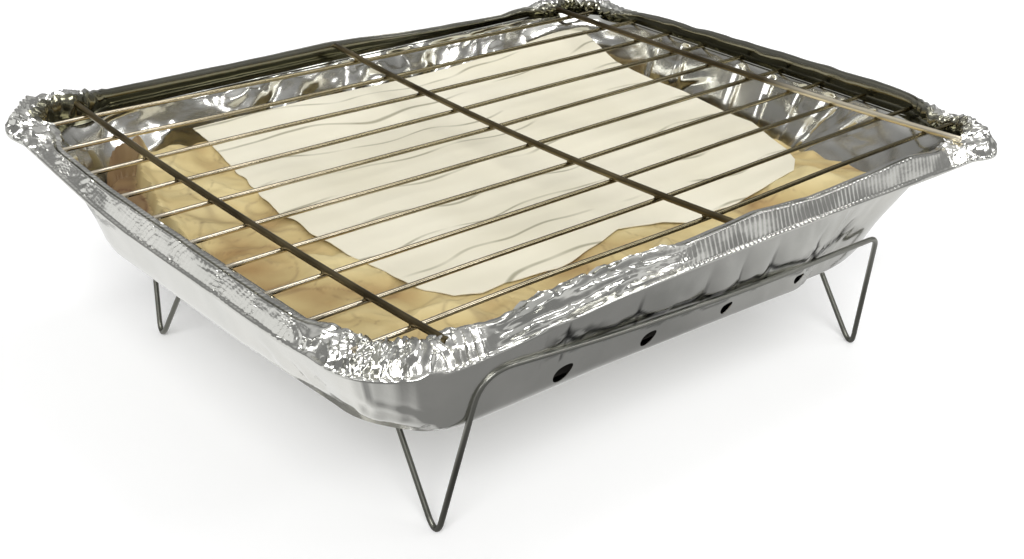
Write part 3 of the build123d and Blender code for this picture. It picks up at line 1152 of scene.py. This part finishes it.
def floor_paint():
    """A white sweep that keeps the object's shadow; mirrors see it pale behind and grey in front."""
    material, surface = new_material("white floor")
    finish_surface(material, surface, colour("#f4f4f4"), 0.9)
    surface.inputs["Specular IOR Level"].default_value = 0.0
    rays = node(material, "ShaderNodeLightPath")

    lift = combine(material, "MULTIPLY", rays.outputs["Is Camera Ray"], floor_glow)
    glow = node(material, "ShaderNodeEmission", {"Strength": lift})
    seen = node(material, "ShaderNodeAddShader", {0: surface.outputs["BSDF"], 1: glow.outputs["Emission"]})

    behind = rescale(material, along(material, "Y"), -0.13, -0.05, 0.0, 0.95)
    right = rescale(material, along(material, "X"), 0.03, 0.2, 0.27, 0.8)
    grey = combine(material, "MAXIMUM", behind, right)
    mirrored = node(material, "ShaderNodeEmission", {"Strength": grey})
    both = {0: rays.outputs["Is Glossy Ray"], 1: seen.outputs["Shader"], 2: mirrored.outputs["Emission"]}
    shown = node(material, "ShaderNodeMixShader", both)
    feed(material, material.node_tree.nodes["Material Output"], "Surface", shown.outputs["Shader"])
    return material


# Camera, floor and light. Their sizes and places are in metres, and angles in degrees.
camera_lens = 53.19
camera_sensor = 36.0
camera_place = (-0.3642, -0.4148, 0.3011)
camera_turn = (63.468, -1.568, -40.737)
floor_size = 40
floor_glow = 0.11
grill_middle = (0, 0, 0.05)
key_place = (-0.58, -0.66, 0.75)
key_strength = 2.5
key_spread = 34


def add_camera():
    view = bpy.data.cameras.new("view")
    view.lens = camera_lens
    view.sensor_width = camera_sensor
    camera = bpy.data.objects.new("camera", view)
    bpy.context.scene.collection.objects.link(camera)
    camera.location = camera_place
    camera.rotation_euler = [math.radians(angle) for angle in camera_turn]
    bpy.context.scene.camera = camera


def add_floor():
    bpy.ops.mesh.primitive_plane_add(size=floor_size)
    floor = name_piece("floor")
    paint(floor, floor_paint())


def add_light(name, kind, place, aim, energy):
    lamp = bpy.data.lights.new(name, kind)
    lamp.energy = energy
    light = bpy.data.objects.new(name, lamp)
    bpy.context.scene.collection.objects.link(light)
    light.location = place
    direction = Vector(aim) - Vector(place)
    light.rotation_euler = direction.to_track_quat("-Z", "Y").to_euler()
    return lamp


def add_panel(name, place, size, power, aim=grill_middle):
    lamp = add_light(name, "AREA", place, aim, power)
    lamp.shape = "RECTANGLE"
    lamp.size, lamp.size_y = size


def add_key():
    """The main light: equally strong everywhere, so that the floor stays white far away too."""
    lamp = add_light("key", "SUN", key_place, (0, 0, 0), key_strength)
    lamp.angle = math.radians(key_spread)


def add_world():
    """White for the camera, and a studio with grey walls and a paler ceiling for the light."""
    world = bpy.data.worlds.new("studio")
    bpy.context.scene.world = world
    world.use_nodes = True
    backdrop = world.node_tree.nodes["Background"]
    rays = node(world, "ShaderNodeLightPath")
    direction = node(world, "ShaderNodeTexCoord").outputs["Generated"]
    upward = node(world, "ShaderNodeSeparateXYZ", {"Vector": direction}).outputs["Z"]
    stops = ((0.0, "#8f8f8f"), (0.45, "#8f8f8f"), (0.64, "#b4b4b4"), (0.82, "#cccccc"))
    wall = colour_ramp(world, upward, *stops)
    feed(world, backdrop, "Color", mixed_colour(world, rays.outputs["Is Camera Ray"], wall, "#ffffff"))


def add_studio():
    add_camera()
    add_floor()
    add_world()
    add_key()
    add_panel("front_panel", (0.60, -0.85, 0.62), size=(0.35, 0.14), power=1.4)
    add_panel("ceiling_panel", (0.42, -0.05, 0.90), size=(0.30, 0.70), power=2.2)
    add_panel("side_window", (-1.20, -0.05, 0.30), size=(0.45, 0.26), power=1.2, aim=(0, 0, 0.08))


# The object's pieces

def paint(piece, material):
    piece.data.materials.clear()
    piece.data.materials.append(material)


def dress(piece, material, body, slot, *nodes):
    """Gives a piece its finish and the body that it rides on, and hides the nodes that it stands for."""
    paint(piece, material)
    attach(piece, body)
    if nodes:
        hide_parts(*nodes)


bpy.context.scene.view_settings.view_transform = "Standard"
add_studio()

foil = aluminium_foil()
dress(foil_pan(), foil, "tray", "foil", "foil_tray")
dress(foil_rim(), foil, "tray", "foil", "foil_tray")

rod_steel = rod_wire()
bar_steel = steel_wire("drawn steel crossbar", "#7d7154", "#4d432f")
# The right crossbar's front gets a painted highlight
right_bar_steel = steel_wire("drawn steel crossbar, clean in front", "#6b6049", "#463d2c", "#efe5cd")
for number, rod in enumerate(grid_rods(), start=1):
    dress(rod, rod_steel, "grid", "grid_wire", f"grid_rod_{number:02d}")
for bar in grid_crossbars():
    steel = right_bar_steel if bar.name == "crossbar_right" else bar_steel
    dress(bar, steel, "grid", "grid_wire", f"grid_{bar.name}")
dress(weld_spots(), bar_steel, "grid", "grid_wire")

pack = kraft_pack()
dress(pack, kraft_paper(), "tray", "kraft_paper", "kraft_paper_bag")

sheet = waxed_sheet()
dress(sheet, waxed_paper(), "tray", "waxed_paper", "ignition_sheet")

dress(wire_stand(), stand_wire(), "stand", "stand_wire", "wire_stand")
paint(frame["nodes"]["charcoal_lumps"], charcoal())
